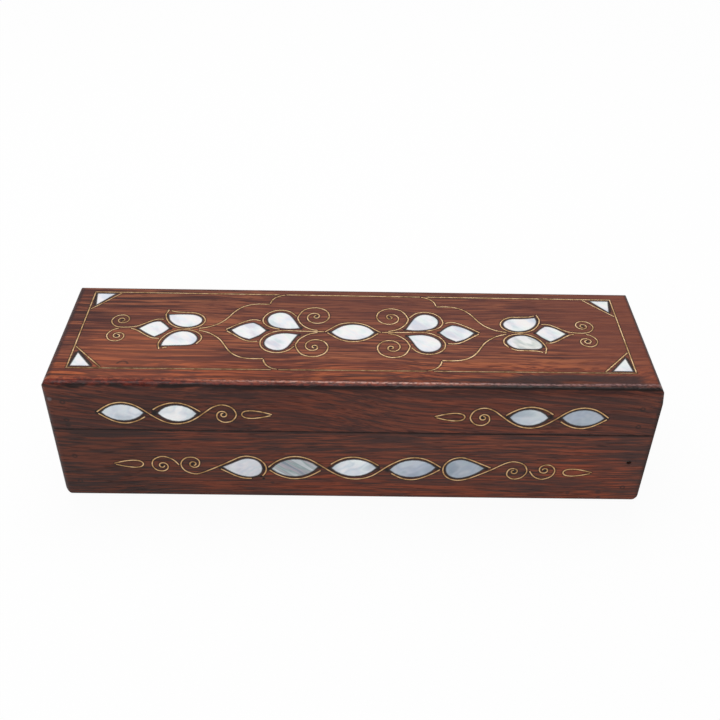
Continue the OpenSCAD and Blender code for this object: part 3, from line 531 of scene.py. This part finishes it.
# Its end and back edges are worn dark
right_end = ease(tree, x, HALF_L - 0.0024, HALF_L - 0.0012)
left_end = ease(tree, x, -HALF_L + 0.0036, -HALF_L + 0.002)
back_edge = ease(tree, y, HALF_D - 0.003, HALF_D - 0.0012)
worn_dark = times(
    tree,
    either(tree, either(tree, right_end, left_end), back_edge),
    ease(tree, noise(tree, place, (200, 200, 200), 3), 0.3, 0.6, 0.5, 0.9),
)
colour = over(tree, worn_dark, colour, DARK_WOOD)

# Dark heartwood flames along the front edge, thin in its middle and broad near its right
heart = noise(tree, place, (26, 190, 190), 2)
thin = times(tree, ease(tree, noise(tree, place, (22, 420, 420), 2), 0.53, 0.62), 0.75)
broad = times(tree, ease(tree, heart, 0.34, 0.5, 0.45, 1.0), ease(tree, x, 0.03, 0.07))
flames = times(
    tree,
    either(tree, times(tree, thin, ease(tree, x, -0.09, -0.05)), broad),
    ease(tree, x, 0.122, 0.114),
    ease(tree, y, -0.0244, -0.0264),
)
colour = over(tree, times(tree, flames, 0.9), colour, DARK_WOOD)

# Grime lies in the eyes of the scrolls, at the tips of the leaves and beside the triangles
for across, along, reach in TOP_DARKS:
    colour = over(tree, spot(tree, place, (across, along, TOP), reach), colour, tint(28, 18, 16))
for start, end in CORNER_GAPS:
    gap = stroke(tree, place, (*start, TOP), (*end, TOP), 0.0007)
    colour = over(tree, times(tree, gap, 0.85), colour, tint(34, 22, 20))

# Painted shade lies along the brinks of the pockets and grooves
brink = times(
    tree,
    occluded_edge(tree, EDGE_SHADE_REACH),
    ease(tree, z, TOP - 0.0006, TOP - 0.0002),
    ease(tree, unsigned(tree, x), HALF_L - 0.004, HALF_L - 0.005),
    ease(tree, unsigned(tree, y), HALF_D - 0.0035, HALF_D - 0.0045),
)
colour = over(tree, times(tree, brink, 0.6), colour, tint(34, 21, 19))

# A faint half ring near the front's left
off_ring = unsigned(tree, calc(tree, "SUBTRACT", away_from(tree, place, RING_CENTRE), RING_RADIUS))
ring = times(tree, ease(tree, off_ring, 0.0007, 0.0002), ease(tree, y, -0.0222, -0.0215))
colour = over(tree, times(tree, ring, 0.7), colour, tint(50, 32, 30))

# The front edge is worn into a mottled roll, red at its left and dark at its right
ragged = noise(tree, place, (160, 420, 420), 3, 0.6)
mottled = noise(tree, place, (420, 640, 640), 3, 0.65)
roll = ease(tree, calc(tree, "ADD", y, times(tree, ragged, 0.002)), -0.0288, -0.0305)
to_right = ease(tree, x, 0.03, 0.07)
red = tones(tree, mottled, [(0.4, tint(66, 32, 26)), (0.5, tint(124, 56, 35)), (0.6, tint(160, 84, 54))])
brown = tones(tree, mottled, [(0.4, tint(38, 24, 24)), (0.5, tint(66, 38, 36)), (0.6, tint(108, 66, 58))])
colour = over(tree, times(tree, roll, 0.72), colour, over(tree, to_right, red, brown))

# Painted shade darkens the roll towards its lip, and sooner at its left
sooner = ease(tree, x, -0.055, -0.075, 0.0, 0.0009)
shade_to_lip = ease(tree, calc(tree, "SUBTRACT", y, sooner), -0.0323, -0.0331)
ember = tones(tree, mottled, [(0.42, tint(56, 7, 2)), (0.58, tint(100, 25, 8))])
ash = tones(tree, mottled, [(0.42, tint(20, 10, 10)), (0.58, tint(50, 23, 19))])
colour = over(tree, times(tree, shade_to_lip, 0.9), colour, over(tree, to_right, ember, ash))

# A broken painted highlight runs along the roll, with painted shade just above it
bent = calc(tree, "ADD", ease(tree, x, -0.06, -0.07, 0.0, 0.0006), ease(tree, x, 0.08, 0.11, 0.0, 0.0007))
above_highlight = calc(tree, "SUBTRACT", calc(tree, "ADD", y, -HIGHLIGHT_Y), bent)
shade = times(
    tree,
    ease(tree, above_highlight, 0.0044, 0.003),
    ease(tree, above_highlight, 0.0003, 0.0008),
    ease(tree, x, -0.055, -0.04),
    ease(tree, x, 0.105, 0.09),
)
colour = over(tree, times(tree, shade, 0.85), colour, (0.66, 0.64, 0.64, 1), "MULTIPLY")
painted_highlight = times(
    tree,
    ease(tree, unsigned(tree, above_highlight), 0.0008, 0.0002),
    ease(tree, noise(tree, place, (700, 1100, 1100), 3), 0.4, 0.58, 0.25, 1.0),
    ease(tree, noise(tree, place, (14, 10, 10), 1), 0.3, 0.55, 0.5, 0.95),
    ease(tree, x, 0.0, 0.05, 1.0, 0.62),
    ease(tree, x, -0.09, -0.035, 0.15, 1.0),
)
highlight_colour = over(tree, to_right, tint(212, 170, 158), tint(164, 128, 126))
highlight_colour = over(tree, ease(tree, x, -0.09, -0.01), tint(146, 90, 72), highlight_colour)
colour = over(tree, painted_highlight, colour, highlight_colour)

# The roll ends in a ragged dark lip, painted shade with dark lacquer gathered in it, and below the lip
# the wood looks like the lid's sides
wander = times(
    tree,
    calc(tree, "SUBTRACT", noise(tree, place, (38, 0, 0), 3, 0.6), 0.5),
    ease(tree, x, -0.06, -0.03, 0.003, 0.0012),
)
lip_y = calc(tree, "ADD", ease(tree, x, -0.03, 0.06, -0.0346, -0.0338), wander)
above_lip = calc(tree, "SUBTRACT", y, lip_y)
side_colour, _, _ = wood_look(tree, place, LID_LOG)
below_lip = ease(tree, above_lip, 0.0, -0.0003)
below_lip = either(tree, below_lip, ease(tree, z, TOP - 0.0012, TOP - 0.0016))
colour = over(tree, below_lip, colour, side_colour)
patchy = ease(tree, noise(tree, place, (120, 120, 120), 3), 0.4, 0.58, 0.25, 1.0)
lip = times(
    tree,
    ease(tree, unsigned(tree, above_lip), 0.0009, 0.0004),
    either(tree, patchy, ease(tree, x, -0.09, -0.05)),
    ease(tree, z, TOP - 0.0025, TOP - 0.0018),
    0.94,
)
colour = over(tree, lip, colour, tint(26, 14, 12))
roughened = times(tree, roll, calc(tree, "SUBTRACT", 1.0, below_lip))
height = calc(tree, "ADD", height, times(tree, ragged, roughened, 6.0))
gloss = calc(tree, "SUBTRACT", gloss, times(tree, roughened, 0.12))
finish_wood(tree, shader, colour, height, gloss)
dress(top_wood, "lid_top_board")

# ---- The corner nails ----
# Round steel nails that hold the boards at each corner, punched in below the face and darkened
# by rust. Wooden plugs cover all but one of them.

nail_steel, tree, shader, place = finish_of("nail_steel", 0.5, {"Metallic": 0.9})
rust = ease(tree, noise(tree, place, (900, 900, 900), 3), 0.4, 0.62)
colour = tones(tree, rust, [(0.0, tint(120, 116, 110)), (1.0, tint(58, 36, 28))])
tree.links.new(colour, shader.inputs["Base Color"])
dress(nail_steel, "base_corner_pins", "lid_corner_pins")

# ---- The mother-of-pearl ----
# Sawn and rubbed flat slips of shell, white with slanting grey-blue and cream clouds, let into
# pockets in the wood. Those on the front's right are bluer, as shell is from one side.

BASE_LEAF_Z, LID_LEAF_Z, LEAF_REACH = 0.0175, 0.048, 0.0118
STRIPED_LEAF_X = -0.025
# The tone of each leaf of the front, as across, height and what its colour is multiplied by
LEAF_TONES = (
    (-0.0943, LID_LEAF_Z, (1.28, 1.28, 1.27)),
    (-0.0723, LID_LEAF_Z, (1.48, 1.44, 1.38)),
    (-0.0466, BASE_LEAF_Z, (1.33, 1.28, 1.27)),
    (STRIPED_LEAF_X, BASE_LEAF_Z, (0.68, 0.71, 0.74)),
    (0.0008, BASE_LEAF_Z, (1.7, 1.64, 1.54)),
    (0.073, LID_LEAF_Z, (1.62, 1.51, 1.35)),
    (0.0458, BASE_LEAF_Z, (1.05, 1.04, 1.02)),
    (0.0256, BASE_LEAF_Z, (1.13, 1.13, 1.14)),
    (0.095, LID_LEAF_Z, (1.08, 1.05, 1.02)),
)


def on_front_face(tree, y):
    """1 on the box's front face, falling to 0 just behind it."""
    return ease(tree, y, -HALF_D + 0.003, -HALF_D + 0.001)


polish = {"Coat Weight": 0.3, "Coat Roughness": 0.15}
pearl, tree, shader, place = finish_of("pearl", 0.22, polish)
x, y, _ = axes(tree, place)
slanting = turned(tree, place, (0, 0, 0), (0, 35, 35))
clouds = noise(tree, slanting, (60, 190, 190), 3)
colour = tones(tree, clouds, [
    (0.34, tint(192, 200, 210)), (0.5, tint(226, 229, 232)), (0.62, tint(236, 235, 230)),
])
shimmer = tones(tree, noise(tree, slanting, (30, 260, 260), 2), [
    (0.36, tint(206, 226, 222)), (0.46, tint(236, 238, 240)),
    (0.54, tint(240, 222, 228)), (0.64, tint(214, 224, 238)),
])
colour = over(tree, 0.35, colour, shimmer)

# One petal of the top is greyer
grey_petal = spot(tree, place, (0.0735, -0.005, TOP), 0.009)
grey = tones(tree, noise(tree, slanting, (60, 300, 300), 2), [
    (0.38, tint(168, 178, 176)), (0.5, tint(206, 208, 198)), (0.6, tint(232, 230, 226)),
])
colour = over(tree, times(tree, grey_petal, 0.7), colour, grey)

# The leaves of the front are misty, bluer to the right, and one of them is striped
on_front = on_front_face(tree, y)
mist = tones(tree, noise(tree, slanting, (28, 120, 120), 2), [
    (0.38, tint(164, 178, 186)), (0.48, tint(222, 224, 226)),
    (0.56, tint(196, 206, 214)), (0.64, tint(240, 240, 238)),
])
colour = over(tree, times(tree, on_front, 0.55), colour, mist)
bluer = times(tree, on_front, ease(tree, x, -0.05, 0.06, 0.35, 1.0))
colour = over(tree, bluer, colour, tint(196, 208, 224), "MULTIPLY")
striped = spot(tree, place, (STRIPED_LEAF_X, -HALF_D, BASE_LEAF_Z), 0.016)
bars = noise(tree, turned(tree, place, (0, 0, 0), (0, -38, 0)), (40, 40, 430), 2)
stripes = tones(tree, bars, [
    (0.36, tint(146, 162, 174)), (0.45, tint(228, 208, 216)),
    (0.52, tint(168, 192, 188)), (0.6, tint(250, 252, 252)),
])
colour = over(tree, times(tree, striped, 0.8), colour, stripes)
for across, up, tone in LEAF_TONES:
    leaf = spot(tree, place, (across, -HALF_D, up), LEAF_REACH)
    colour = over(tree, leaf, colour, (*tone, 1), "MULTIPLY")

# Every slip has painted shade along its rim, and fine growth lines
colour = over(tree, times(tree, occluded_edge(tree, 0.0005), 0.72), colour, tint(72, 64, 62))
tree.links.new(colour, shader.inputs["Base Color"])
lines = noise(tree, slanting, (90, 1400, 1400), 2)
bump = add(tree, "Bump", {"Height": lines, "Strength": 0.25, "Distance": 0.00005})
tree.links.new(bump.outputs[0], shader.inputs["Normal"])
dress(pearl, "top_flower_pearls", "top_corner_pearls", "lid_front_pearls", "base_pearls")

# ---- The mastic ----
# Near-black resin mastic that beds each slip of shell and fills the gap around it. It sets
# matt, with paler specks of dust.

mastic, tree, shader, place = finish_of("mastic", 0.7)
specks = noise(tree, place, (2500, 2500, 2500), 2)
colour = tones(tree, specks, [(0.3, tint(20, 15, 14)), (0.7, tint(48, 34, 30))])
tree.links.new(colour, shader.inputs["Base Color"])
dress(mastic, "top_mastic", "lid_front_mastic", "base_mastic")

# ---- The brass wire ----
# Flat brass strip set on edge in cut grooves, hammered down and rubbed level with the wood. It
# is duller along the top's front, where hands have worn it most, and has painted shade on the
# front face and along its edges.

wire_brass, tree, shader, place = finish_of("wire_brass", 0.42, {"Metallic": 0.85})
_, y, z = axes(tree, place)
tarnish = noise(tree, place, (330, 330, 330), 3, 0.6)
colour = tones(tree, tarnish, [
    (0.36, tint(176, 138, 94)), (0.48, tint(220, 180, 130)), (0.62, tint(244, 208, 162)),
])
dull = times(tree, ease(tree, y, -0.0215, -0.0235), ease(tree, z, TOP - 0.001, TOP - 0.0005))
colour = over(tree, dull, colour, (0.5, 0.47, 0.45, 1), "MULTIPLY")
# Painted shade on the front face
colour = over(tree, on_front_face(tree, y), colour, (0.9, 0.84, 0.76, 1), "MULTIPLY")
# Painted shade along the wire's edges
colour = over(tree, times(tree, occluded_edge(tree, 0.0002), 0.35), colour, tint(80, 58, 40))
tree.links.new(colour, shader.inputs["Base Color"])
hammered = noise(tree, place, (900, 900, 900), 2)
bump = add(tree, "Bump", {"Height": hammered, "Strength": 0.3, "Distance": 0.0001})
tree.links.new(bump.outputs[0], shader.inputs["Normal"])
dress(
    wire_brass, "top_border_wires", "top_arch_wires", "top_flower_wires", "top_scroll_wires",
    "lid_front_wires", "base_lens_wires", "base_scroll_wires",
)

# ---- The hinges ----
# Two small butt hinges of rolled brass strip, each on a peened pin and held by four
# countersunk screws.

hinge_brass, tree, shader, place = finish_of("hinge_brass", 0.35, {"Metallic": 1.0})
tarnish = noise(tree, place, (500, 500, 500), 4)
colour = tones(tree, tarnish, [(0.35, tint(150, 112, 60)), (0.6, tint(208, 170, 104))])
tree.links.new(colour, shader.inputs["Base Color"])
dress(
    hinge_brass, "left_hinge_base_leaf", "left_hinge_lid_leaf", "left_hinge_pin",
    "right_hinge_base_leaf", "right_hinge_lid_leaf", "right_hinge_pin",
    "base_hinge_screws", "lid_hinge_screws",
)

# ---- The lining ----
# Dark red cotton velvet glued round thin card, one card to the floor, the ceiling and each wall.
# The cloth rounds every edge of its card, and its pile lies in brushed patches.

CARD, CARD_GAP = 0.0012, 0.0001
CLOTH_EDGE = 0.00045
MESH_STEP = 0.003
# How deep the cloth's waves are, how far from the rim they are full, and how they lie on the card
WAVE, WAVE_FADE = 0.00008, 0.003
WAVE_RATES, WAVE_SHIFT = (420, 610), 1.3

velvet, tree, shader, place = finish_of("velvet", 0.85, {
    "Specular IOR Level": 0.1, "Sheen Weight": 0.8,
    "Sheen Roughness": 0.35, "Sheen Tint": tint(214, 96, 110),
})
brushed = noise(tree, place, (70, 110, 90), 3, 0.6)
pile = noise(tree, place, (3200, 3200, 3200), 2)
colour = tones(tree, brushed, [
    (0.34, tint(74, 8, 20)), (0.5, tint(102, 13, 28)), (0.64, tint(132, 24, 42)),
])
shade = tones(tree, pile, [(0.35, tint(168, 168, 168)), (0.6, tint(255, 255, 255))])
tree.links.new(over(tree, 1.0, colour, shade, "MULTIPLY"), shader.inputs["Base Color"])
tree.links.new(ease(tree, brushed, 0.3, 0.7, 0.72, 0.95), shader.inputs["Roughness"])
bump = add(tree, "Bump", {"Height": pile, "Strength": 0.6, "Distance": 0.0003})
tree.links.new(bump.outputs[0], shader.inputs["Normal"])


def velvet_card(low, high):
    """A card between two corners, with rounded edges and slightly wavy faces."""
    card = bmesh.new()
    bmesh.ops.create_cube(card, size=1)
    for vert in card.verts:
        vert.co = Vector(high[i] if vert.co[i] > 0 else low[i] for i in range(3))
    bmesh.ops.bevel(
        card, geom=card.edges[:], offset=CLOTH_EDGE, segments=3,
        affect="EDGES", profile=0.5, material=-1,
    )

    # Cuts every few millimetres, so that the faces can wave
    for i in range(3):
        length = high[i] - low[i]
        if length > 4 * CARD:
            for step in range(1, int(length / MESH_STEP)):
                cut = [0, 0, 0]
                cut[i] = low[i] + MESH_STEP * step
                facing = [0, 0, 0]
                facing[i] = 1
                everything = card.verts[:] + card.edges[:] + card.faces[:]
                bmesh.ops.bisect_plane(card, geom=everything, plane_co=cut, plane_no=facing)

    # The waves only go inwards, and fade out at the card's rim
    thin = min(range(3), key=lambda i: high[i] - low[i])
    wide = [i for i in range(3) if i != thin]
    for vert in card.verts:
        rim = min(min(vert.co[i] - low[i], high[i] - vert.co[i]) for i in wide)
        fade = min(max((rim - CLOTH_EDGE) / WAVE_FADE, 0.0), 1.0)
        first, second = (rate * vert.co[i] for rate, i in zip(WAVE_RATES, wide))
        wave = 0.5 + 0.5 * math.sin(first) * math.sin(second + WAVE_SHIFT)
        inwards = 1 if vert.co[thin] < (low[thin] + high[thin]) / 2 else -1
        vert.co[thin] += inwards * WAVE * fade * wave
    return card


def velvet_cards(name, node, body, spans):
    """The cards between the corners in spans, standing for a CAD node."""
    form = bmesh.new()
    for low, high in spans:
        card = velvet_card(low, high)
        card_mesh = bpy.data.meshes.new("card")
        card.to_mesh(card_mesh)
        card.free()
        form.from_mesh(card_mesh)
        bpy.data.meshes.remove(card_mesh)
    for face in form.faces:
        face.smooth = True
    mesh = bpy.data.meshes.new(name)
    form.to_mesh(mesh)
    form.free()
    made = bpy.data.objects.new(name, mesh)
    made.data.materials.append(velvet)
    scene.collection.objects.link(made)
    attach(made, body)
    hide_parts(node)


def wall_spans(node):
    """The two end cards over the whole depth, and the two long ones between them."""
    low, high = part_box(node)
    inner = CARD + CARD_GAP
    return [
        (low, Vector((low.x + CARD, high.y, high.z))),
        (Vector((high.x - CARD, low.y, low.z)), high),
        (Vector((low.x + inner, low.y, low.z)), Vector((high.x - inner, low.y + CARD, high.z))),
        (Vector((low.x + inner, high.y - CARD, low.z)), Vector((high.x - inner, high.y, high.z))),
    ]


velvet_cards("floor_velvet", "base_floor_lining", "base", [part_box("base_floor_lining")])
velvet_cards("ceiling_velvet", "lid_ceiling_lining", "lid", [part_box("lid_ceiling_lining")])
velvet_cards("base_wall_velvet", "base_wall_linings", "base", wall_spans("base_wall_linings"))
velvet_cards("lid_wall_velvet", "lid_wall_linings", "lid", wall_spans("lid_wall_linings"))
